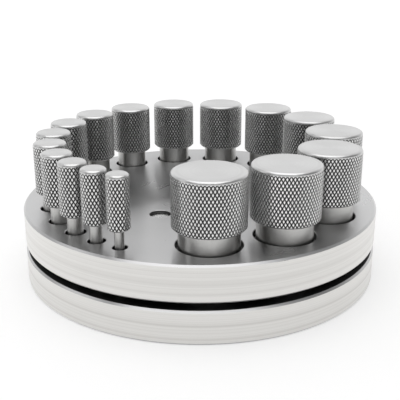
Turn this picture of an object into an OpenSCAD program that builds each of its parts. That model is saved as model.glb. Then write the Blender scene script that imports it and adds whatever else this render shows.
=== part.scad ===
// Jeweller's disc cutter: two round steel plates with a gap for sheet metal,
// and a ring of punches that are dropped through the upper plate and struck.
// Millimetres, +Z up, origin at the middle of the underside.

/* [Plates] */
// Diameter of both plates
plate_d = 123; // [119:1:150]
// Thickness of the lower plate, which holds the dies
die_plate_t = 11; // [9:0.5:16]
// Thickness of the upper plate, which guides the punches
guide_plate_t = 12; // [10:0.5:16]
// Open gap between the plates, where the sheet goes
sheet_gap = 2.4; // [1.6:0.1:3]
// Thinnest sheet that the plates close on
thinnest_sheet = 0.2; // [0.1:0.05:0.5]
// Chamfer round the rims of the plates
rim_chamfer = 0.6; // [0.3:0.1:1]

/* [Punches] */
// Shank diameter of the smallest punch
smallest_punch_d = 3; // [2.5:0.1:3.8]
// Difference in diameter from one punch to the next
punch_step = 1; // [0.8:0.05:1.05]
// Number of punches in the ring
punch_count = 17; // [5:1:17]
// How much wider a knurled head is than its shank
head_extra_d = 4; // [3:0.1:4.8]
// Height of a knurled head
head_h = 17.4; // [12:0.1:22]
// Length of shank that shows between a head and the upper plate
shank_showing = 5.7; // [3:0.1:12]
// Chamfer round the struck end of a head
head_top_chamfer = 0.8; // [0.4:0.1:1.2]
// Chamfer round the lower end of a head
head_bottom_chamfer = 0.6; // [0.4:0.1:1.4]
// Chamfer in the corner between a shank and its head
neck_chamfer = 0.4; // [0.2:0.1:0.8]

/* [Punch ring] */
// Direction of the largest punch, counter-clockwise from +X
first_angle = -86.5; // [-180:0.5:180]
// Angle left free between the smallest and the largest punch
free_angle = 30; // [26:1:40]
// Steel that each hole's share of the ring counts beside its diameter
hole_bridge = 3.5; // [2:0.1:5]
// Steel between a hole and the rim of the plate
rim_land = 6.5; // [4:0.1:8]

/* [Holes for punches] */
// Radial clearance of a shank in the upper plate
guide_clearance = 0.05; // [0.02:0.01:0.1]
// Radial clearance of a shank in its die
die_clearance = 0.03; // [0.02:0.01:0.08]
// Radial width of the relief round a shank at the top face
mouth_relief = 0.85; // [0.4:0.05:1.1]
// Depth of that relief
mouth_depth = 2.5; // [1:0.1:4]
// Height of the cutting part of a die, under which the hole is relieved
die_land = 5; // [3:0.5:8]
// Radial relief of a die below its cutting part
die_relief = 0.5; // [0.2:0.1:1]
// Chamfer on the edges of holes
hole_chamfer = 0.2; // [0.1:0.05:0.3]

/* [Guide pins] */
// Diameter of the two guide pins
pin_d = 7; // [5:0.5:8]
// Distance of each pin from the middle
pin_radius = 23.5; // [18:0.5:26]
// Direction of the front pin from the largest punch
pin_angle = -38; // [-60:1:-20]
// Radial clearance of a pin in the upper plate
pin_clearance = 0.04; // [0.02:0.01:0.1]
// Chamfer on the mouth of a pin's hole in the upper plate
pin_mouth = 0.1; // [0.1:0.1:1]
// Chamfer on the ends of a pin
pin_chamfer = 0.4; // [0.2:0.1:0.8]
// Depth of a pin's lower end inside the lower plate
pin_recess = 0.4; // [0.2:0.1:2]
// Depth of a pin's top below the top face
pin_sink = 0.9; // [0:0.1:1]

/* [Clamp screw] */
// Thread diameter of the clamp screw
screw_d = 5; // [4:1:6]
// Height of the screw's end above the underside while the plates are closed
screw_end_space = 1.8; // [0.6:0.1:4]
// Diameter of the screw's head
screw_head_d = 8.5; // [7:0.5:10]
// Height of the screw's head
screw_head_h = 5; // [4:0.5:6]
// Depth of the head below the top face
screw_sink = 0.4; // [0.2:0.1:1]
// Width across the flats of the hexagon socket
socket_flats = 4; // [3:0.5:5]
// Depth of the hexagon socket
socket_depth = 2.6; // [2:0.1:3.5]
// Radial clearance of the head in its counterbore
counterbore_clearance = 0.75; // [0.3:0.05:1]
// Radial clearance of the thread in its holes
thread_clearance = 0.08; // [0.04:0.01:0.1]

/* [Lift spring] */
// Space between the screw and the inside of the spring
spring_screw_space = 1.2; // [0.6:0.1:1.6]
// Wire diameter of the spring
spring_wire = 0.8; // [0.6:0.05:1]
// Number of curls
spring_curls = 4; // [3:0.5:4]
// Depth of the spring's pocket in the upper plate
upper_pocket = 2.6; // [2:0.1:3.5]
// Depth of the spring's pocket in the lower plate
lower_pocket = 2.4; // [2:0.1:3.5]
// Space between the spring and its pockets, round it and at its ends
spring_space = 0.3; // [0.2:0.05:0.5]

/* [Hidden] */

$fn = 96;
eps = 0.01;

guide_plate_z = die_plate_t + sheet_gap;
top_z = guide_plate_z + guide_plate_t;
plate_travel = sheet_gap - thinnest_sheet;

front_pin_angle = first_angle + pin_angle;
rear_pin_angle = front_pin_angle + 180;

screw_top_z = top_z - screw_sink;
screw_seat_z = screw_top_z - screw_head_h;
screw_end_z = plate_travel + screw_end_space;
screw_chamfer = screw_d / 10;
counterbore_r = screw_head_d / 2 + counterbore_clearance;
socket_r = socket_flats / 2 / cos(30);

coil_r = screw_d / 2 + spring_screw_space + spring_wire / 2;
pocket_r = coil_r + spring_wire / 2 + spring_space;
spring_low_z = die_plate_t - lower_pocket + spring_space;
spring_high_z = guide_plate_z + upper_pocket - spring_space;
coil_sides = 6;
coil_rings_per_curl = 8;
coil_rings = round(spring_curls * coil_rings_per_curl);
coil_rise = spring_high_z - spring_low_z - spring_wire;

// Colours
plate_colour = [0.78, 0.78, 0.77];
head_colour = [0.62, 0.62, 0.62];
pin_colour = [0.85, 0.85, 0.85];
screw_colour = [0.13, 0.13, 0.14];
spring_colour = [0.55, 0.56, 0.58];

// --- The punch ring. Punch 1 is the smallest, and each hole takes a share of the ring by its diameter

function punch_d(i) = smallest_punch_d + (i - 1) * punch_step;

function punch_name(i) = str("punch_", i < 10 ? "0" : "", i);

function ring_share(i) = hole_bridge + (punch_d(i) + punch_d(i + 1)) / 2;

// Shares between the largest punch and punch i
function ring_sum(i) = i >= punch_count ? 0 : ring_share(i) + ring_sum(i + 1);

function punch_angle(i) = first_angle + (360 - free_angle) * ring_sum(i) / ring_sum(1);

function punch_radius(i) = plate_d / 2 - rim_land - punch_d(i) / 2;

module at_punch(i) {
    rotate(punch_angle(i))
        translate([punch_radius(i), 0, 0])
            children();
}

module at_pin(angle) {
    rotate(angle)
        translate([pin_radius, 0, 0])
            children();
}

// --- Shared shapes

// A disc with both edges chamfered
module chamfered_disc(r, h, c) {
    rotate_extrude()
        polygon([[0, 0], [r - c, 0], [r, c], [r, h - c], [r - c, h], [0, h]]);
}

// What is cut at a hole's upper edge, where the face lies at z
module upper_edge(r, z, c) {
    translate([0, 0, z - c])
        cylinder(h = c + eps, r1 = r, r2 = r + c + eps);
}

// What is cut at a hole's lower edge, where the face lies at z
module lower_edge(r, z, c) {
    translate([0, 0, z - eps])
        cylinder(h = c + eps, r1 = r + c + eps, r2 = r);
}

// --- Plates

// The hole of one die: a cutting land at the top, relieved below it
module die_hole(d) {
    land_r = d / 2 + die_clearance;
    relief_r = d / 2 + die_relief;
    translate([0, 0, -eps])
        cylinder(h = die_plate_t + 2 * eps, r = land_r);
    translate([0, 0, -eps])
        cylinder(h = die_plate_t - die_land + eps, r = relief_r);
    lower_edge(relief_r, 0, hole_chamfer);
}

// The hole of one guide: a close bore with a wider mouth
module guide_hole(d) {
    mouth_r = d / 2 + mouth_relief;
    translate([0, 0, guide_plate_z - eps])
        cylinder(h = guide_plate_t + 2 * eps, r = d / 2 + guide_clearance);
    translate([0, 0, top_z - mouth_depth])
        cylinder(h = mouth_depth + eps, r = mouth_r);
    upper_edge(mouth_r, top_z, hole_chamfer);
    lower_edge(d / 2 + guide_clearance, guide_plate_z, hole_chamfer);
}

module bottom_plate() {
    thread_r = screw_d / 2 + thread_clearance;
    color(plate_colour)
        difference() {
            chamfered_disc(plate_d / 2, die_plate_t, rim_chamfer);
            for (i = [1:punch_count])
                at_punch(i)
                    die_hole(punch_d(i));
            for (angle = [front_pin_angle, rear_pin_angle])
                at_pin(angle) {
                    translate([0, 0, -eps])
                        cylinder(h = die_plate_t + 2 * eps, r = pin_d / 2);
                    lower_edge(pin_d / 2, 0, hole_chamfer);
                }
            translate([0, 0, -eps])
                cylinder(h = die_plate_t + eps, r = thread_r);
            lower_edge(thread_r, 0, hole_chamfer);
            translate([0, 0, die_plate_t - lower_pocket])
                cylinder(h = lower_pocket + eps, r = pocket_r);
            upper_edge(pocket_r, die_plate_t, hole_chamfer);
        }
}

module top_plate() {
    pin_hole_r = pin_d / 2 + pin_clearance;
    color(plate_colour)
        difference() {
            translate([0, 0, guide_plate_z])
                chamfered_disc(plate_d / 2, guide_plate_t, rim_chamfer);
            for (i = [1:punch_count])
                at_punch(i)
                    guide_hole(punch_d(i));
            for (angle = [front_pin_angle, rear_pin_angle])
                at_pin(angle) {
                    translate([0, 0, guide_plate_z - eps])
                        cylinder(h = guide_plate_t + 2 * eps, r = pin_hole_r);
                    upper_edge(pin_hole_r, top_z, pin_mouth);
                    lower_edge(pin_hole_r, guide_plate_z, hole_chamfer);
                }
            translate([0, 0, guide_plate_z])
                cylinder(h = guide_plate_t, r = screw_d / 2 + thread_clearance);
            translate([0, 0, guide_plate_z - eps])
                cylinder(h = upper_pocket + eps, r = pocket_r);
            lower_edge(pocket_r, guide_plate_z, hole_chamfer);
            translate([0, 0, screw_seat_z])
                cylinder(h = top_z - screw_seat_z + eps, r = counterbore_r);
            upper_edge(counterbore_r, top_z, hole_chamfer);
        }
}

// --- Screw, pins and spring

// A socket-head cap screw. Its thread is a plain cylinder
module clamp_screw() {
    head_r = screw_head_d / 2;
    thread_r = screw_d / 2;
    color(screw_colour)
        difference() {
            rotate_extrude()
                polygon([
                    [0, screw_end_z],
                    [thread_r - screw_chamfer, screw_end_z],
                    [thread_r, screw_end_z + screw_chamfer],
                    [thread_r, screw_seat_z],
                    [head_r, screw_seat_z],
                    [head_r, screw_top_z - screw_chamfer],
                    [head_r - screw_chamfer, screw_top_z],
                    [0, screw_top_z]
                ]);
            translate([0, 0, screw_top_z - socket_depth])
                cylinder(h = socket_depth + eps, r = socket_r, $fn = 6);
        }
}

// A dowel pin, pressed in the lower plate, whose top lies just below the top face
module guide_pin(angle) {
    color(pin_colour)
        at_pin(angle)
            translate([0, 0, pin_recess])
                chamfered_disc(pin_d / 2, top_z - pin_sink - pin_recess, pin_chamfer);
}

module guide_pin_front() {
    guide_pin(front_pin_angle);
}

module guide_pin_rear() {
    guide_pin(rear_pin_angle);
}

// One point of the coil's skin: ring number, and side of the wire
function coil_point(ring, side) =
    let (
        turn = 360 * ring / coil_rings_per_curl,
        round_wire = 360 * (side + 0.5) / coil_sides,
        r = coil_r + spring_wire / 2 * cos(round_wire),
        z = spring_low_z + spring_wire / 2 + coil_rise * ring / coil_rings
            + spring_wire / 2 * sin(round_wire)
    )
    [r * cos(turn), r * sin(turn), z];

module lift_spring() {
    points = [
        for (ring = [0:coil_rings])
            for (side = [0:coil_sides - 1])
                coil_point(ring, side)
    ];
    walls = [
        for (ring = [0:coil_rings - 1])
            for (side = [0:coil_sides - 1])
                let (
                    next = (side + 1) % coil_sides,
                    a = ring * coil_sides + side,
                    b = ring * coil_sides + next,
                    c = a + coil_sides,
                    d = b + coil_sides
                )
                each [[a, c, b], [b, c, d]]
    ];
    first_end = [for (side = [1:coil_sides - 2]) [0, side, side + 1]];
    last = coil_rings * coil_sides;
    last_end = [for (side = [1:coil_sides - 2]) [last, last + side + 1, last + side]];
    color(spring_colour)
        polyhedron(points = points, faces = concat(walls, first_end, last_end), convexity = 8);
}

// --- Punches

// Half outline of a punch: a ground shank that stands on z = 0, and a head with chamfered ends
module punch_outline(d) {
    shank_r = d / 2;
    head_r = shank_r + head_extra_d / 2;
    head_z = top_z + shank_showing;
    head_top_z = head_z + head_h;
    polygon([
        [0, 0],
        [shank_r, 0],
        [shank_r, head_z - neck_chamfer],
        [shank_r + neck_chamfer, head_z],
        [head_r - head_bottom_chamfer, head_z],
        [head_r, head_z + head_bottom_chamfer],
        [head_r, head_top_z - head_top_chamfer],
        [head_r - head_top_chamfer, head_top_z],
        [0, head_top_z]
    ]);
}

module punch(i) {
    color(head_colour)
        at_punch(i)
            rotate_extrude()
                punch_outline(punch_d(i));
}

// --- Least distance between two curls, from the points of the coil's skin

function coil_skin(first, last) = [
    for (ring = [first:last])
        for (side = [0:coil_sides - 1])
            coil_point(ring, side)
];

function least_gap(points, others) = min([for (p = points) for (q = others) norm(p - q)]);

curl_gap = least_gap(
    coil_skin(0, coil_rings_per_curl),
    coil_skin(coil_rings_per_curl + 1, 2 * coil_rings_per_curl + 1)
);
echo(str("Least gap between two curls of the lift spring: ", curl_gap, " mm"));
echo(str("The same with the plates closed: ", curl_gap - plate_travel / spring_curls, " mm"));

bottom_plate();
top_plate();
clamp_screw();
guide_pin_front();
guide_pin_rear();
lift_spring();
for (i = [1:punch_count]) punch(i);
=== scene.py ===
import math

import bmesh
import bpy
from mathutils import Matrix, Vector


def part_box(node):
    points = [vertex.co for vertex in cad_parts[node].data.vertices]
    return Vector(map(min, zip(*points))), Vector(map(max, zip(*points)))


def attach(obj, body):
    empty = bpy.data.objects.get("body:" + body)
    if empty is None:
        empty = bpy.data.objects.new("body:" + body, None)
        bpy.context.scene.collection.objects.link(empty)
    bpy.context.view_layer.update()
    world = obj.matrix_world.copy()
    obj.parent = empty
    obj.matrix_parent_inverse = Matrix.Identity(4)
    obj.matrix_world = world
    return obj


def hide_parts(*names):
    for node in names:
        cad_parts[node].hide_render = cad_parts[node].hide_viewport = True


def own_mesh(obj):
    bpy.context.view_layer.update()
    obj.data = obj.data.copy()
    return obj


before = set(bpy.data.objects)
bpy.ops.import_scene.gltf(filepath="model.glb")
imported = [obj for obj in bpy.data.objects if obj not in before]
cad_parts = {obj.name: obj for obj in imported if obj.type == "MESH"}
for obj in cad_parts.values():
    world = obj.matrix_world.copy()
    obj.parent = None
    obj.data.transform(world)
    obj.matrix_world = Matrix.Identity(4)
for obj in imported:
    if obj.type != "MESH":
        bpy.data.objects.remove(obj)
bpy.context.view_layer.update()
tau = 2 * math.pi
print("frame loaded:", len(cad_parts), "nodes")


# Small helpers for node trees

def feed(tree, socket, value):
    # a number or a colour is set, an output is linked
    if isinstance(value, (int, float)):
        socket.default_value = value
    elif isinstance(value, tuple):
        socket.default_value = (*value, 1)
    else:
        tree.links.new(value, socket)


def plug(tree, source, target):
    tree.links.new(source, target)


def addNode(tree, kind, **settings):
    node = tree.nodes.new(kind)
    for name, value in settings.items():
        if name.startswith("in_"):  # an input by its name, spaces written as _
            node.inputs[name[3:].replace("_", " ")].default_value = value
        else:
            setattr(node, name, value)
    return node


def mathNode(tree, operation, *values, clamp=False):
    node = addNode(tree, "ShaderNodeMath", operation=operation, use_clamp=clamp)
    for socket, value in zip(node.inputs, values):
        feed(tree, socket, value)
    return node.outputs[0]


def combine(tree, x, y, z=0.0):
    node = tree.nodes.new("ShaderNodeCombineXYZ")
    for socket, value in zip(node.inputs, (x, y, z)):
        feed(tree, socket, value)
    return node.outputs[0]


def separate(tree, vector):
    node = tree.nodes.new("ShaderNodeSeparateXYZ")
    plug(tree, vector, node.inputs[0])
    return node.outputs


def mixColour(tree, share, first, second):
    node = addNode(tree, "ShaderNodeMix", data_type="RGBA")
    for index, value in zip((0, 6, 7), (share, first, second)):  # its colour sockets
        feed(tree, node.inputs[index], value)
    return node.outputs[2]


def mixValue(tree, share, first, second):
    node = tree.nodes.new("ShaderNodeMix")
    for index, value in zip((0, 2, 3), (share, first, second)):  # its float sockets
        feed(tree, node.inputs[index], value)
    return node.outputs[0]


def spread(tree, value, span, to=(0.0, 1.0), kind="LINEAR"):
    node = addNode(tree, "ShaderNodeMapRange", interpolation_type=kind)
    for socketName, number in zip(("From Min", "From Max", "To Min", "To Max"), (*span, *to)):
        node.inputs[socketName].default_value = number
    plug(tree, value, node.inputs["Value"])
    return node.outputs["Result"]


def tint(tree, mask, span, most, base, other):
    # the other colour comes over the base, up to the given share, as the mask passes its span
    return mixColour(tree, spread(tree, mask, span, (0.0, most)), base, other)


def newGroup(name, inputs, outputs):
    group = bpy.data.node_groups.new(name, "ShaderNodeTree")
    for socketName, kind, value in inputs:
        socket = group.interface.new_socket(socketName, in_out="INPUT", socket_type=kind)
        if value is not None:
            socket.default_value = value
    for socketName, kind in outputs:
        group.interface.new_socket(socketName, in_out="OUTPUT", socket_type=kind)
    return group, group.nodes.new("NodeGroupInput"), group.nodes.new("NodeGroupOutput")


# Shared finishes

mmPerMetre = 1000.0

# Cutter marks: fine lines that run along one coordinate, and broader bands
toolMarks, groupIn, groupOut = newGroup(
    "toolMarks",
    [("Along", "NodeSocketFloat", 0.0),
     ("Lines per mm", "NodeSocketFloat", 4.0),
     ("Seed", "NodeSocketFloat", 0.0)],
    [("Lines", "NodeSocketFloat"), ("Bands", "NodeSocketFloat")],
)
alongMm = mathNode(toolMarks, "MULTIPLY", groupIn.outputs["Along"], mmPerMetre)
scaled = mathNode(toolMarks, "MULTIPLY", alongMm, groupIn.outputs["Lines per mm"])
markAt = combine(toolMarks, scaled, groupIn.outputs["Seed"])
fineNoise = addNode(toolMarks, "ShaderNodeTexNoise", noise_dimensions="2D",
                    in_Scale=1.0, in_Detail=2.0, in_Roughness=0.7)
bandNoise = addNode(toolMarks, "ShaderNodeTexNoise", noise_dimensions="2D",
                    in_Scale=0.12, in_Detail=3.0, in_Roughness=0.6)
for noise, outputName in ((fineNoise, "Lines"), (bandNoise, "Bands")):
    plug(toolMarks, markAt, noise.inputs["Vector"])
    plug(toolMarks, noise.outputs[0], groupOut.inputs[outputName])

# Handling: soft smudges and a few specks, from the object's own coordinates
handling, groupIn, groupOut = newGroup(
    "handling",
    [("Place", "NodeSocketVector", None), ("Size mm", "NodeSocketFloat", 12.0)],
    [("Smudge", "NodeSocketFloat"), ("Speck", "NodeSocketFloat")],
)
smudgeScale = mathNode(handling, "DIVIDE", mmPerMetre, groupIn.outputs["Size mm"])
smudgeNoise = addNode(handling, "ShaderNodeTexNoise", in_Detail=3.0, in_Roughness=0.55)
plug(handling, smudgeScale, smudgeNoise.inputs["Scale"])
speckNoise = addNode(handling, "ShaderNodeTexNoise", in_Scale=2600.0, in_Detail=1.0)
for noise, span, outputName in ((smudgeNoise, (0.3, 0.7), "Smudge"),
                                (speckNoise, (0.66, 0.76), "Speck")):
    plug(handling, groupIn.outputs["Place"], noise.inputs["Vector"])
    plug(handling, spread(handling, noise.outputs[0], span), groupOut.inputs[outputName])


def useGroup(tree, group, **values):
    node = tree.nodes.new("ShaderNodeGroup")
    node.node_tree = group
    for name, value in values.items():
        feed(tree, node.inputs[name.replace("_", " ")], value)
    return node.outputs


def newMaterial(name, colour, **constants):
    material = bpy.data.materials.new(name)
    material.use_nodes = True
    material.diffuse_color = (*colour, 1)
    tree = material.node_tree
    shader = tree.nodes["Principled BSDF"]
    for socketName, value in constants.items():
        shader.inputs[socketName.replace("_", " ")].default_value = value
    return material, tree, shader


def placeOf(tree):
    return addNode(tree, "ShaderNodeTexCoord").outputs["Object"]


def heightOf(tree):
    return separate(tree, placeOf(tree))[2]


def radiusOf(tree):
    parts = separate(tree, placeOf(tree))
    length = addNode(tree, "ShaderNodeVectorMath", operation="LENGTH")
    plug(tree, combine(tree, parts[0], parts[1]), length.inputs[0])
    return length.outputs["Value"]


def attributeOf(tree, name):
    return addNode(tree, "ShaderNodeAttribute", attribute_name=name).outputs["Fac"]


def ownRadiusOf(tree):
    # the distance from a turned shape's own axis
    return attributeOf(tree, "turnRadius")


def bumpInto(tree, shader, height, distance):
    bump = addNode(tree, "ShaderNodeBump", in_Strength=1.0, in_Distance=distance)
    plug(tree, height, bump.inputs["Height"])
    plug(tree, bump.outputs[0], shader.inputs["Normal"])


def grainInto(tree, shader, scale, distance):
    grain = addNode(tree, "ShaderNodeTexNoise", in_Scale=scale, in_Detail=2.0)
    plug(tree, placeOf(tree), grain.inputs["Vector"])
    bumpInto(tree, shader, grain.outputs[0], distance)


def marksOf(tree, finish, along):
    return useGroup(tree, toolMarks, Along=along, Lines_per_mm=finish["linesPerMm"],
                    Seed=finish["seed"])


def touchOf(tree, finish):
    return useGroup(tree, handling, Place=placeOf(tree), Size_mm=finish["smudgeSize"])


def lineTone(tree, finish, marks):
    return tint(tree, marks["Lines"], finish["lineSpan"], finish["lineShare"],
                finish["colour"], finish["lineColour"])


def smudgeTone(tree, finish, touch, tone):
    return tint(tree, touch["Smudge"], finish["smudgeSpan"], finish["smudgeShare"],
                tone, finish["smudgeColour"])


def markedSteel(name, finish, alongOf):
    # turned or ground steel: tool marks along one coordinate tint it, roughen it and raise it
    material, tree, shader = newMaterial(name, finish["colour"], Metallic=1.0,
                                         Anisotropic=finish["anisotropy"])
    marks = marksOf(tree, finish, alongOf(tree))
    tone = lineTone(tree, finish, marks)
    rough = spread(tree, marks["Bands"], (0.2, 0.8), finish["roughness"])
    # the rim's broad tool bands, made stronger low on the rim as painted shade
    if "bandShare" in finish:
        lowShade = spread(tree, heightOf(tree), finish["lowShadeHeights"], finish["lowShadeShares"])
        bands = spread(tree, marks["Bands"], finish["bandSpan"], (0.0, finish["bandShare"]))
        share = mathNode(tree, "MULTIPLY", bands, lowShade)
        tone = mixColour(tree, share, tone, finish["bandAndShadeColour"])
    if "smudgeShare" in finish:
        touch = touchOf(tree, finish)
        tone = smudgeTone(tree, finish, touch, tone)
        rough = mathNode(tree, "MULTIPLY_ADD", touch["Smudge"], finish["smudgeRoughness"], rough)
    plug(tree, tone, shader.inputs["Base Color"])
    plug(tree, rough, shader.inputs["Roughness"])
    bumpInto(tree, shader, marks["Lines"], finish["lineDepth"])
    if finish["anisotropy"]:
        # the highlight runs across the marks, a quarter turn from the way they go round
        tangent = addNode(tree, "ShaderNodeTangent", direction_type="RADIAL", axis="Z")
        plug(tree, tangent.outputs[0], shader.inputs["Tangent"])
        shader.inputs["Anisotropic Rotation"].default_value = 0.25
    return material


# Plate steel: faces, rims and bores, the bores in dark painted shade

faceFinish = {
    "colour": (0.56, 0.56, 0.565),
    "lineColour": (0.50, 0.50, 0.505),
    "lineSpan": (0.25, 0.75),
    "lineShare": 0.12,
    "linesPerMm": 3.0,
    "lineDepth": 0.0000006,
    "seed": 3.1,
    "smudgeColour": (0.55, 0.55, 0.54),
    "smudgeSpan": (0.0, 1.0),
    "smudgeShare": 0.25,
    "smudgeRoughness": 0.06,
    "smudgeSize": 22.0,
    "roughness": (0.25, 0.29),
    "anisotropy": 0.8,
}
rimFinish = {
    "colour": (0.79, 0.78, 0.76),
    "lineColour": (0.66, 0.65, 0.625),
    "lineSpan": (0.3, 0.8),
    "lineShare": 0.55,
    "linesPerMm": 3.2,
    "lineDepth": 0.000006,
    "seed": 8.4,
    "bandAndShadeColour": (0.55, 0.535, 0.51),
    "bandSpan": (0.5, 0.7),
    "bandShare": 0.65,
    "lowShadeHeights": (0.004, 0.018),  # painted shade: the dark warm bands are strongest on the lower rim and weaker on the upper rim
    "lowShadeShares": (1.0, 0.4),
    "roughness": (0.29, 0.40),
    "anisotropy": 0.6,
}
# painted shade: the bores, the inner walls and the sheet gap's faces get near-black steel
paintedBoreShade = {
    "colour": (0.12, 0.12, 0.12),
    "lineColour": (0.09, 0.09, 0.09),
    "lineSpan": (0.3, 0.7),
    "lineShare": 0.6,
    "linesPerMm": 4.0,
    "lineDepth": 0.000006,
    "seed": 1.7,
    "roughness": (0.38, 0.55),
    "anisotropy": 0.0,
}
plateFace = markedSteel("plateFace", faceFinish, radiusOf)
plateRim = markedSteel("plateRim", rimFinish, heightOf)
shadedBoreWall = markedSteel("shadedBoreWall", paintedBoreShade, heightOf)


# Punch steel: turned caps, knurl and ground shank

capFinish = {
    "colour": (0.68, 0.68, 0.68),
    "lineColour": (0.58, 0.58, 0.58),
    "lineSpan": (0.3, 0.75),
    "lineShare": 0.5,
    "linesPerMm": 4.5,
    "lineDepth": 0.000005,
    "seed": 5.2,
    "smudgeColour": (0.61, 0.61, 0.60),
    "smudgeSpan": (0.2, 1.0),
    "smudgeShare": 0.3,
    "smudgeRoughness": 0.0,
    "smudgeSize": 9.0,
    "roughness": (0.30, 0.42),
    "anisotropy": 0.5,
}
shankFinish = {
    "colour": (0.585, 0.582, 0.57),
    "lineColour": (0.48, 0.477, 0.467),
    "lineSpan": (0.3, 0.75),
    "lineShare": 0.12,
    "linesPerMm": 7.0,
    "lineDepth": 0.0000007,
    "seed": 2.6,
    "smudgeColour": (0.50, 0.495, 0.472),
    "smudgeSpan": (0.3, 1.0),
    "smudgeShare": 0.35,
    "smudgeRoughness": 0.0,
    "smudgeSize": 8.0,
    "roughness": (0.27, 0.32),
    "anisotropy": 0.8,
}
turnedCap = markedSteel("turnedCap", capFinish, ownRadiusOf)
groundShank = markedSteel("groundShank", shankFinish, heightOf)

# the knurl's grooves are darkened with painted shade
knurlFinish = {
    "colour": (0.80, 0.80, 0.795),
    "grooveShadeColour": (0.045, 0.045, 0.0445),
    "grooveShadeSpan": (0.3, 0.95),
    "smudgeColour": (0.50, 0.50, 0.49),
    "smudgeSpan": (0.2, 1.0),
    "smudgeShare": 0.25,
    "smudgeRoughness": 0.06,
    "smudgeSize": 7.0,
    "roughness": (0.45, 0.24),  # from the grooves to the crests
    "grainScale": 5200.0,
    "grainDepth": 0.000012,
}
finish = knurlFinish
knurledSteel, tree, shader = newMaterial("knurledSteel", finish["colour"], Metallic=1.0)
crest = attributeOf(tree, "crest")
touch = touchOf(tree, finish)
# painted shade: the grooves go near black and the crests keep the steel's colour
tone = tint(tree, crest, finish["grooveShadeSpan"], 1.0, finish["grooveShadeColour"], finish["colour"])
plug(tree, smudgeTone(tree, finish, touch, tone), shader.inputs["Base Color"])
rough = mathNode(tree, "MULTIPLY_ADD", touch["Smudge"], finish["smudgeRoughness"],
                 spread(tree, crest, (0.0, 1.0), finish["roughness"]))
plug(tree, rough, shader.inputs["Roughness"])
grainInto(tree, shader, finish["grainScale"], finish["grainDepth"])


# Pins, screw and spring

pinFinish = {
    "colour": (0.72, 0.72, 0.72),
    "lineColour": (0.60, 0.60, 0.60),
    "lineSpan": (0.3, 0.75),
    "lineShare": 0.5,
    "linesPerMm": 6.0,
    "lineDepth": 0.000003,
    "seed": 4.4,
    "smudgeSize": 4.0,
    "roughness": (0.20, 0.32),
}
finish = pinFinish
pinGround, tree, shader = newMaterial("pinGround", finish["colour"], Metallic=1.0)
marks = marksOf(tree, finish, ownRadiusOf(tree))
smudge = touchOf(tree, finish)["Smudge"]
plug(tree, lineTone(tree, finish, marks), shader.inputs["Base Color"])
plug(tree, spread(tree, smudge, (0.0, 1.0), finish["roughness"]), shader.inputs["Roughness"])
bumpInto(tree, shader, marks["Lines"], finish["lineDepth"])

oxideFinish = {
    "colour": (0.03, 0.03, 0.032),
    "darkColour": (0.022, 0.022, 0.024),
    "lightColour": (0.045, 0.045, 0.048),
    "speckColour": (0.16, 0.16, 0.16),
    "metallic": 0.6,
    "smudgeSize": 3.0,
    "roughness": (0.34, 0.5),
    "grainScale": 6000.0,
    "grainDepth": 0.000008,
}
finish = oxideFinish
blackOxide, tree, shader = newMaterial("blackOxide", finish["colour"], Metallic=finish["metallic"])
touch = touchOf(tree, finish)
tone = mixColour(tree, touch["Smudge"], finish["darkColour"], finish["lightColour"])
tone = mixColour(tree, touch["Speck"], tone, finish["speckColour"])
plug(tree, tone, shader.inputs["Base Color"])
plug(tree, spread(tree, touch["Smudge"], (0.0, 1.0), finish["roughness"]),
     shader.inputs["Roughness"])
grainInto(tree, shader, finish["grainScale"], finish["grainDepth"])

wireFinish = {
    "colour": (0.36, 0.36, 0.37),
    "smudgeColour": (0.22, 0.22, 0.23),
    "smudgeSize": 2.0,
    "roughness": (0.25, 0.4),
    "grainScale": 3000.0,
    "grainDepth": 0.000006,
}
finish = wireFinish
springWire, tree, shader = newMaterial("springWire", finish["colour"], Metallic=1.0)
smudge = touchOf(tree, finish)["Smudge"]
plug(tree, mixColour(tree, smudge, finish["colour"], finish["smudgeColour"]),
     shader.inputs["Base Color"])
plug(tree, spread(tree, smudge, (0.0, 1.0), finish["roughness"]), shader.inputs["Roughness"])
grainInto(tree, shader, finish["grainScale"], finish["grainDepth"])
print("materials made")


# Turned shapes

def shadeByAngle(mesh, degrees):
    work = bmesh.new()
    work.from_mesh(mesh)
    limit = math.radians(degrees)
    for face in work.faces:
        face.smooth = True
    for edge in work.edges:
        edge.smooth = len(edge.link_faces) != 2 or edge.calc_face_angle(0) < limit
    work.to_mesh(mesh)
    work.free()


def linkObject(name, data):
    made = bpy.data.objects.new(name, data)
    bpy.context.scene.collection.objects.link(made)
    return made


turnedAngle = 28  # edges sharper than this stay crisp on turned shapes


def turned(name, axis, profile, steps, materials, radiusAt=None):
    # profile: (radius, height, material index of the band above) from the lower axis point
    # to the upper one; radiusAt gives the radius at an angle where the radius is negative
    mesh = bpy.data.meshes.new(name)
    points, faces, bandOf, ownRadius, rings = [], [], [], [], []
    for r, z, band in profile:
        if r == 0:
            rings.append([len(points)])
            points.append((axis[0], axis[1], z))
            ownRadius.append(0.0)
            continue
        ring = []
        for k in range(steps):
            angle = tau * k / steps
            reach = radiusAt(r, angle) if r < 0 else r
            ring.append(len(points))
            points.append((axis[0] + reach * math.cos(angle),
                           axis[1] + reach * math.sin(angle), z))
            ownRadius.append(reach)
        rings.append(ring)
    for low, high, (r, z, band) in zip(rings, rings[1:], profile):
        for k in range(steps):
            n = (k + 1) % steps
            if len(low) == 1:
                faces.append((low[0], high[n], high[k]))
            elif len(high) == 1:
                faces.append((low[k], low[n], high[0]))
            else:
                faces.append((low[k], low[n], high[n], high[k]))
            bandOf.append(band)
    mesh.from_pydata(points, [], faces)
    for material in materials:
        mesh.materials.append(material)
    mesh.polygons.foreach_set("material_index", bandOf)
    values = mesh.attributes.new("turnRadius", "FLOAT", "POINT")
    values.data.foreach_set("value", ownRadius)
    shadeByAngle(mesh, turnedAngle)
    return linkObject(name, mesh)


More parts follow.
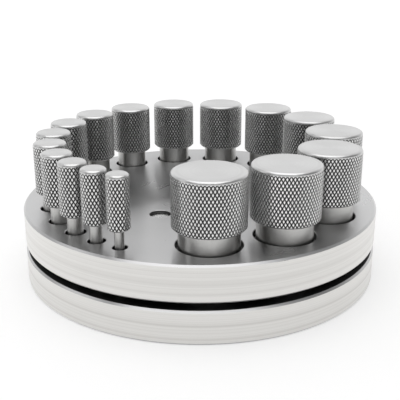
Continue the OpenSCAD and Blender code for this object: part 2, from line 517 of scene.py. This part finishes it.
def roundedCorner(outerR, topZ, size, count):
    # a chamfer that bulges a little: a bulge of 0 is a flat chamfer, 1 a full quarter round
    bulge = 0.8
    points = []
    for k in range(count + 1):
        t = k / count
        turn = t * math.pi / 2
        flat = (outerR - size * t, topZ - size * (1 - t))
        arc = (outerR - size + size * math.cos(turn), topZ - size + size * math.sin(turn))
        points.append((flat[0] + (arc[0] - flat[0]) * bulge, flat[1] + (arc[1] - flat[1]) * bulge))
    return points


def banded(points, band=0):
    return [(r, z, band) for r, z in points]


def axisAndRadius(low, high):
    return ((low[0] + high[0]) / 2, (low[1] + high[1]) / 2), (high[0] - low[0]) / 2


# Plates: the CAD shape, welded, with smooth rims and a finish for each kind of face; the bores and
# the sheet gap's faces get dark painted shade

plateLook = {
    "rimRadius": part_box("top_plate")[1].x - 0.0008,  # just inside the rim's chamfers
    "rimMargin": 0.0006,
    "sheetSides": (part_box("bottom_plate")[1].z - 0.003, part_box("top_plate")[0].z + 0.003),
    "level": 0.95,  # least upright part of a level face's normal
    "sloped": 0.3,  # and of a chamfer's
    "weld": 0.0000005,
    "smallestEdge": 0.0000002,
    "smoothAngle": 30,
}
plateMaterials = (plateFace, plateRim, shadedBoreWall)
faceIndex, rimIndex, shadedBoreIndex = range(3)


def plateMaterialIndex(face):
    look = plateLook
    centre = face.calc_center_median()
    upright = abs(face.normal.z)
    if upright > look["level"] and look["sheetSides"][0] < centre.z < look["sheetSides"][1]:
        return shadedBoreIndex  # the faces on either side of the sheet, darkened with painted shade
    if upright > look["sloped"]:
        return faceIndex  # top and underside, chamfers round the holes and along the rims
    reach = max(math.hypot(v.co.x, v.co.y) for v in face.verts)
    inside = math.hypot(centre.x, centre.y)
    if inside > look["rimRadius"] - look["rimMargin"] and reach > look["rimRadius"]:
        return rimIndex
    # painted shade: bore walls and the other inner faces go dark
    return shadedBoreIndex


def dressPlate(node, body):
    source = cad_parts[node]
    mesh = bpy.data.meshes.new(node + "_finished")
    work = bmesh.new()
    work.from_mesh(source.data)
    work.transform(source.matrix_world)
    bmesh.ops.remove_doubles(work, verts=work.verts, dist=plateLook["weld"])
    bmesh.ops.dissolve_degenerate(work, edges=work.edges, dist=plateLook["smallestEdge"])
    for face in work.faces:
        face.material_index = plateMaterialIndex(face)
    work.to_mesh(mesh)
    work.free()
    for material in plateMaterials:
        mesh.materials.append(material)
    shadeByAngle(mesh, plateLook["smoothAngle"])
    piece = linkObject(node + "_finished", mesh)
    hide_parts(node)
    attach(piece, body)


dressPlate("bottom_plate", "die_base")
dressPlate("top_plate", "guide_plate")
print("plates finished")


# Guide pins

pinLook = {"chamfer": 0.0004, "cornerSteps": 4, "endRing": 0.5, "steps": 48}
for node in ("guide_pin_front", "guide_pin_rear"):
    low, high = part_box(node)
    axis, pinR = axisAndRadius(low, high)
    c = pinLook["chamfer"]
    profile = banded([
        (0, low[2]), (pinR - c, low[2]), (pinR, low[2] + c),
        *roundedCorner(pinR, high[2], c, pinLook["cornerSteps"]),
        (pinR * pinLook["endRing"], high[2]), (0, high[2]),
    ])
    piece = turned(node + "_ground", axis, profile, pinLook["steps"], [pinGround])
    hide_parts(node)
    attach(piece, "die_base")
print("pins made")


# Clamp screw: socket head with a countersunk hexagon

screwLook = {
    "flats": 0.004,
    "socketDepth": 0.0026,
    "socketFloor": 0.0004,  # height of the drill point's cone
    "countersink": 0.0002,
    "headHeight": 0.005,
    "headLowerEdge": 0.0002,
    "threadRadius": 0.0025,
    "edge": 0.0005,
    "cornerSteps": 4,
    "steps": 48,
}
low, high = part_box("clamp_screw")
axis, headR = axisAndRadius(low, high)
topZ = high[2]
seatZ = topZ - screwLook["headHeight"]


def hexagonReach(marker, angle):
    # -1 in the profile stands for the hexagon, and -1 - x for one that is larger by x
    across = screwLook["flats"] / 2 + (-marker - 1)
    local = (angle % math.radians(60)) - math.radians(30)
    return across / math.cos(local)


look = screwLook
threadR, edge, lip = look["threadRadius"], look["edge"], look["headLowerEdge"]
sink, floorZ = look["countersink"], topZ - look["socketDepth"]
profile = banded([
    (0, low[2]), (threadR - edge, low[2]), (threadR, low[2] + edge), (threadR, seatZ),
    (headR - lip, seatZ), (headR, seatZ + lip),
    *roundedCorner(headR, topZ, edge, look["cornerSteps"]),
    (-1 - sink, topZ), (-1, topZ - sink), (-1, floorZ + look["socketFloor"]), (0, floorZ),
])
screwPiece = turned("clamp_screw_black", (0, 0), profile, look["steps"], [blackOxide], hexagonReach)
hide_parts("clamp_screw")
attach(screwPiece, "screw")
print("screw made")


# Geometry nodes: helpers

def newTree(name, inputs):
    tree = bpy.data.node_groups.new(name, "GeometryNodeTree")
    tree.is_modifier = True
    geometry = ("Geometry", "NodeSocketGeometry", None)
    for socketName, kind, value in (geometry, *inputs):
        socket = tree.interface.new_socket(socketName, in_out="INPUT", socket_type=kind)
        if value is not None:
            socket.default_value = value
    tree.interface.new_socket("Geometry", in_out="OUTPUT", socket_type="NodeSocketGeometry")
    return tree, tree.nodes.new("NodeGroupInput"), tree.nodes.new("NodeGroupOutput")


def step(tree, kind, geometry, links=None, **settings):
    # a geometry node fed by the one before; links name its other inputs that come from outputs
    node = addNode(tree, kind, **settings)
    plug(tree, geometry, node.inputs[0])
    for socketName, source in (links or {}).items():
        plug(tree, source, node.inputs[socketName])
    return node


def applyTree(piece, tree, **values):
    modifier = piece.modifiers.new(tree.name, "NODES")
    modifier.node_group = tree
    identifiers = {item.name: item.identifier for item in tree.interface.items_tree
                   if item.in_out == "INPUT"}
    for name, value in values.items():
        modifier[identifiers[name.replace("_", " ")]] = value
    bpy.context.view_layer.update()
    graph = bpy.context.evaluated_depsgraph_get()
    made = bpy.data.meshes.new_from_object(piece.evaluated_get(graph))
    piece.modifiers.remove(modifier)
    old = piece.data
    piece.data = made
    made.name = piece.name
    bpy.data.meshes.remove(old)


# Knurl: a flat field of diamonds, each drawn up to a small flat, then wrapped round the head.
# In the field x is the angle, y the height and z the height above the grooves.

knurlLimits = {
    "indexGuard": 0.001,  # keeps the row's division from falling just short
    "fieldWeld": 0.00002,
    "finalWeld": 0.000002,
    "leastArea": 1e-11,
}
knurlTree, groupIn, groupOut = newTree("diamondKnurl", [
    ("Axis", "NodeSocketVector", None),
    ("Crest Radius", "NodeSocketFloat", 0.01),
    ("Groove Depth", "NodeSocketFloat", 0.0003),
    ("Teeth", "NodeSocketInt", 40),
    ("Rows", "NodeSocketInt", 16),
    ("Tooth Height", "NodeSocketFloat", 0.002),
    ("First Height", "NodeSocketFloat", 0.0),
    ("Flat Share", "NodeSocketFloat", 0.25),
    ("Lower Edge", "NodeSocketFloat", 0.0),
    ("Upper Edge", "NodeSocketFloat", 0.0),
    ("Steel", "NodeSocketMaterial", None),
])
wants = groupIn.outputs


def knurlMath(operation, *values):
    return mathNode(knurlTree, operation, *values)


# Where the diamonds stand: every second row is shifted by half a tooth
index = knurlTree.nodes.new("GeometryNodeInputIndex").outputs[0]
column = knurlMath("FLOORED_MODULO", index, wants["Teeth"])
guarded = knurlMath("ADD", index, knurlLimits["indexGuard"])
row = knurlMath("FLOOR", knurlMath("DIVIDE", guarded, wants["Teeth"]))
halfStep = knurlMath("MULTIPLY", knurlMath("FLOORED_MODULO", row, 2.0), 0.5)
toothAngle = knurlMath("DIVIDE", tau, wants["Teeth"])
angleAt = knurlMath("MULTIPLY", knurlMath("ADD", column, halfStep), toothAngle)
halfHeight = knurlMath("MULTIPLY", wants["Tooth Height"], 0.5)
heightAt = knurlMath("ADD", wants["First Height"], knurlMath("MULTIPLY", row, halfHeight))
field = addNode(knurlTree, "GeometryNodePoints")
plug(knurlTree, knurlMath("MULTIPLY", wants["Teeth"], wants["Rows"]), field.inputs["Count"])
plug(knurlTree, combine(knurlTree, angleAt, heightAt), field.inputs["Position"])

# One diamond at each, welded to its neighbours, drawn up and narrowed to its flat
diamond = addNode(knurlTree, "GeometryNodeMeshCircle", fill_type="NGON",
                  in_Vertices=4, in_Radius=1.0)
diamondSize = combine(knurlTree, knurlMath("MULTIPLY", toothAngle, 0.5), halfHeight, 1.0)
sown = step(knurlTree, "GeometryNodeInstanceOnPoints", field.outputs[0],
            {"Instance": diamond.outputs["Mesh"], "Scale": diamondSize})
realField = step(knurlTree, "GeometryNodeRealizeInstances", sown.outputs[0])
welded = step(knurlTree, "GeometryNodeMergeByDistance", realField.outputs[0],
              in_Distance=knurlLimits["fieldWeld"])
drawn = step(knurlTree, "GeometryNodeExtrudeMesh", welded.outputs[0],
             {"Offset": combine(knurlTree, 0.0, 0.0, 1.0), "Offset Scale": wants["Groove Depth"]},
             mode="FACES", in_Individual=True)
flats = step(knurlTree, "GeometryNodeScaleElements", drawn.outputs["Mesh"],
             {"Selection": drawn.outputs["Top"], "Scale": wants["Flat Share"]}, domain="FACE")

# The share of the groove's depth goes to the material, which paints shade into the grooves and
# roughens them from it, then the field is wrapped
spot = separate(knurlTree, addNode(knurlTree, "GeometryNodeInputPosition").outputs[0])
crestShare = knurlMath("DIVIDE", spot[2], wants["Groove Depth"])
marked = step(knurlTree, "GeometryNodeStoreNamedAttribute", flats.outputs[0], {"Value": crestShare},
              data_type="FLOAT", domain="POINT", in_Name="crest")
shortfall = knurlMath("SUBTRACT", wants["Groove Depth"], spot[2])
reach = knurlMath("SUBTRACT", wants["Crest Radius"], shortfall)
lowest = knurlMath("SUBTRACT", wants["Lower Edge"], shortfall)
level = knurlMath("MINIMUM", knurlMath("MAXIMUM", spot[1], lowest), wants["Upper Edge"])
wrapped = combine(knurlTree, knurlMath("MULTIPLY", reach, knurlMath("COSINE", spot[0])),
                  knurlMath("MULTIPLY", reach, knurlMath("SINE", spot[0])), level)
placed = addNode(knurlTree, "ShaderNodeVectorMath", operation="ADD")
plug(knurlTree, wrapped, placed.inputs[0])
plug(knurlTree, wants["Axis"], placed.inputs[1])
bent = step(knurlTree, "GeometryNodeSetPosition", marked.outputs[0],
            {"Position": placed.outputs[0]})

# Closed, cleaned of slivers, flat-shaded, coated and joined to the turned body
closed = step(knurlTree, "GeometryNodeMergeByDistance", bent.outputs[0],
              in_Distance=knurlLimits["finalWeld"])
tooSmall = addNode(knurlTree, "FunctionNodeCompare", data_type="FLOAT", operation="LESS_THAN")
area = addNode(knurlTree, "GeometryNodeInputMeshFaceArea")
plug(knurlTree, area.outputs[0], tooSmall.inputs[0])
tooSmall.inputs[1].default_value = knurlLimits["leastArea"]
cleaned = step(knurlTree, "GeometryNodeDeleteGeometry", closed.outputs[0],
               {"Selection": tooSmall.outputs[0]}, domain="FACE", mode="ALL")
crisp = step(knurlTree, "GeometryNodeSetShadeSmooth", cleaned.outputs[0],
             domain="FACE", in_Shade_Smooth=False)
finished = step(knurlTree, "GeometryNodeRealizeInstances", crisp.outputs[0])
coated = step(knurlTree, "GeometryNodeSetMaterial", finished.outputs[0],
              {"Material": wants["Steel"]})
together = step(knurlTree, "GeometryNodeJoinGeometry", coated.outputs[0])
plug(knurlTree, wants["Geometry"], together.inputs[0])
plug(knurlTree, together.outputs[0], groupOut.inputs[0])


# Punches

punchLook = {
    "headExtra": 0.002,  # head radius less shank radius
    "headHeight": 0.0174,
    "topChamfer": 0.0008,
    "cornerSteps": 6,
    "lowerChamfer": 0.0006,
    "neck": 0.0004,
    "neckWaist": 0.35,  # share of the neck at its hollow's middle
    "shankEdge": 0.00006,
    "plainBand": 0.0002,  # smooth band between the top chamfer and the knurl
    "bandEdge": 0.00004,
    "grooveDepth": 0.00026,
    "coreGap": 0.00001,  # the turned core lies this far under the grooves
    "knurlPitch": 0.001,
    "knurlAngle": 30,
    "spareRows": 3,
    "flatShare": 0.54,
    "capRings": (0.75, 0.5, 0.25),  # shares of the radius
    "shankRing": 0.5,
    "steps": 96,
}
capIndex, shankIndex = 0, 2  # the knurl between them gets its material in its tree


def makePunch(node):
    look = punchLook
    low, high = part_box(node)
    axis, headR = axisAndRadius(low, high)
    shankR = headR - look["headExtra"]
    topZ = high[2]
    headZ = topZ - look["headHeight"]
    knurlTop = topZ - look["topChamfer"] - look["plainBand"]
    knurlLow = headZ + look["lowerChamfer"]
    depth, neck, edge = look["grooveDepth"], look["neck"], look["shankEdge"]
    coreR = headR - depth - look["coreGap"]
    corner = roundedCorner(headR, topZ, look["topChamfer"], look["cornerSteps"])
    flatR = corner[-1][0]
    waist = neck * look["neckWaist"]
    profile = banded([
        (0, low[2]), (shankR * look["shankRing"], low[2]),
        (shankR - edge, low[2]), (shankR, low[2] + edge),
        (shankR, headZ - neck), (shankR + waist, headZ - waist),
    ], shankIndex)
    profile += banded([
        (shankR + neck, headZ), (headR - look["lowerChamfer"], headZ), (coreR, knurlLow - depth),
        (coreR, knurlTop), (headR - look["bandEdge"], knurlTop), *corner,
        *[(flatR * share, topZ) for share in look["capRings"]], (0, topZ),
    ], capIndex)
    piece = turned(node + "_turned", axis, profile, look["steps"],
                   [turnedCap, knurledSteel, groundShank])
    width = look["knurlPitch"] / math.cos(math.radians(look["knurlAngle"]))
    toothHeight = look["knurlPitch"] / math.sin(math.radians(look["knurlAngle"]))
    rows = math.ceil((knurlTop - knurlLow) / (toothHeight / 2)) + look["spareRows"]
    applyTree(piece, knurlTree, Axis=(axis[0], axis[1], 0.0), Crest_Radius=headR,
              Groove_Depth=depth, Teeth=round(tau * headR / width), Rows=rows,
              Tooth_Height=toothHeight, First_Height=knurlLow - toothHeight / 2,
              Flat_Share=look["flatShare"], Lower_Edge=knurlLow, Upper_Edge=knurlTop,
              Steel=knurledSteel)
    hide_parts(node)
    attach(piece, node)
    return piece


punchNodes = sorted(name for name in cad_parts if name.startswith("punch_"))
for node in punchNodes:
    piece = makePunch(node)
print("punches made:", len(punchNodes), "last one has", len(piece.data.polygons), "faces")


# Lift spring: round wire on a helix

springLook = {
    "wire": 0.0008,
    "curls": 4.0,
    "wireSides": 12,
    "pointsPerCurl": 32,
    "closes": 0.0022,  # how far the guide plate comes down
}
springTree, groupIn, groupOut = newTree("liftSpring", [
    ("Coil Radius", "NodeSocketFloat", 0.004),
    ("Wire Radius", "NodeSocketFloat", 0.0004),
    ("Curls", "NodeSocketFloat", 4.0),
    ("Rise", "NodeSocketFloat", 0.006),
    ("Start Height", "NodeSocketFloat", 0.0),
    ("Wire Sides", "NodeSocketInt", 12),
    ("Points per Curl", "NodeSocketInt", 32),
    ("Steel", "NodeSocketMaterial", None),
])
wants = groupIn.outputs
helix = addNode(springTree, "GeometryNodeCurveSpiral")
for socketName, wanted in (("Resolution", "Points per Curl"), ("Rotations", "Curls"),
                           ("Start Radius", "Coil Radius"), ("End Radius", "Coil Radius"),
                           ("Height", "Rise")):
    plug(springTree, wants[wanted], helix.inputs[socketName])
raised = step(springTree, "GeometryNodeSetPosition", helix.outputs[0],
              {"Offset": combine(springTree, 0.0, 0.0, wants["Start Height"])})
wireOutline = addNode(springTree, "GeometryNodeCurvePrimitiveCircle")
plug(springTree, wants["Wire Sides"], wireOutline.inputs["Resolution"])
plug(springTree, wants["Wire Radius"], wireOutline.inputs["Radius"])
swept = step(springTree, "GeometryNodeCurveToMesh", raised.outputs[0],
             {"Profile Curve": wireOutline.outputs[0]}, in_Fill_Caps=True)
realWire = step(springTree, "GeometryNodeRealizeInstances", swept.outputs[0])
coated = step(springTree, "GeometryNodeSetMaterial", realWire.outputs[0],
              {"Material": wants["Steel"]})
plug(springTree, coated.outputs[0], groupOut.inputs[0])

low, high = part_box("lift_spring")
look, wireR, tall = springLook, springLook["wire"] / 2, high[2] - low[2]
springPiece = linkObject("lift_spring_wound", bpy.data.meshes.new("lift_spring_wound"))
applyTree(springPiece, springTree, Coil_Radius=(high[0] - low[0]) / 2 - wireR, Wire_Radius=wireR,
          Curls=look["curls"], Rise=tall - look["wire"], Start_Height=low[2] + wireR,
          Wire_Sides=look["wireSides"], Points_per_Curl=look["pointsPerCurl"], Steel=springWire)
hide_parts("lift_spring")
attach(springPiece, "die_base")
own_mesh(springPiece)
print("spring made:", len(springPiece.data.polygons), "faces")


# Floor, light and camera

studio = {
    "floorColour": (0.62, 0.62, 0.62),
    "floorHalfSize": 1.5,
    "floorGlow": (0.44, 0.8),  # near and far; seen by the camera and in reflections only
    "glowReach": (0.15, 0.7),
    "nearToFar": (-0.15, 0.88),  # the room's brightening from the camera's side to behind
    "roomLevels": (0.13, 1.0),
    "overhead": 0.65,
    "overheadFrom": (0.5, 0.9),
    "aim": (0, 0, 0.025),
}
white = (1, 1, 1, 1)

floorMesh = bpy.data.meshes.new("studioFloor")
work = bmesh.new()
bmesh.ops.create_grid(work, x_segments=1, y_segments=1, size=studio["floorHalfSize"])
work.to_mesh(floorMesh)
work.free()
floor = linkObject("studioFloor", floorMesh)
floorMaterial = bpy.data.materials.new("studioFloor")
floorMaterial.use_nodes = True
floorMesh.materials.append(floorMaterial)
tree = floorMaterial.node_tree
shader = tree.nodes["Principled BSDF"]
shader.inputs["Base Color"].default_value = (*studio["floorColour"], 1)
shader.inputs["Roughness"].default_value = 1.0
shader.inputs["Specular IOR Level"].default_value = 0.0
shader.inputs["Emission Color"].default_value = white
rays = addNode(tree, "ShaderNodeLightPath").outputs
seen = mathNode(tree, "ADD", rays["Is Camera Ray"], rays["Is Glossy Ray"])
seen = mathNode(tree, "ADD", seen, rays["Is Transmission Ray"], clamp=True)
reach = radiusOf(tree)
glow = spread(tree, reach, studio["glowReach"], studio["floorGlow"])
plug(tree, mathNode(tree, "MULTIPLY", seen, glow), shader.inputs["Emission Strength"])

# The room is dim on the camera's side, bright behind the object, and plain white to the camera
world = bpy.data.worlds.new("studio")
bpy.context.scene.world = world
world.use_nodes = True
tree = world.node_tree
background = tree.nodes["Background"]
background.inputs["Color"].default_value = white
toward = separate(tree, addNode(tree, "ShaderNodeTexCoord").outputs["Generated"])
around = spread(tree, toward[1], studio["nearToFar"], studio["roomLevels"], "SMOOTHSTEP")
upShare = spread(tree, toward[2], studio["overheadFrom"], kind="SMOOTHSTEP")
room = mixValue(tree, upShare, around, studio["overhead"])
rays = addNode(tree, "ShaderNodeLightPath").outputs
plug(tree, mixValue(tree, rays["Is Camera Ray"], room, 1.0), background.inputs["Strength"])


def softBox(name, at, size, power):
    data = bpy.data.lights.new(name, "AREA")
    data.shape = "RECTANGLE"
    data.size, data.size_y = size
    data.energy = power
    lamp = linkObject(name, data)
    lamp.location = at
    toAim = Vector(studio["aim"]) - Vector(at)
    lamp.rotation_euler = toAim.to_track_quat("-Z", "Y").to_euler()


softBox("keySoftbox", at=(-0.02, -0.14, 0.64), size=(0.8, 0.9), power=2.6)
softBox("sideSoftbox", at=(-0.55, -0.05, 0.3), size=(0.3, 0.4), power=0.3)

cameraLook = {"target": (0.0, 0.0, 0.0235), "distance": 0.2718, "elevation": 19.3,
              "fieldOfView": 29.5, "nearest": 0.01}
elevation = math.radians(cameraLook["elevation"])
target = Vector(cameraLook["target"])
back = Vector((0, -math.cos(elevation), math.sin(elevation)))
cameraData = bpy.data.cameras.new("productCamera")
cameraData.sensor_fit = "HORIZONTAL"
cameraData.angle = math.radians(cameraLook["fieldOfView"])
cameraData.clip_start = cameraLook["nearest"]
camera = linkObject("productCamera", cameraData)
camera.location = target + back * cameraLook["distance"]
camera.rotation_euler = (target - camera.location).to_track_quat("-Z", "Y").to_euler()
bpy.context.scene.camera = camera
bpy.context.scene.view_settings.view_transform = "Standard"
print("studio set")
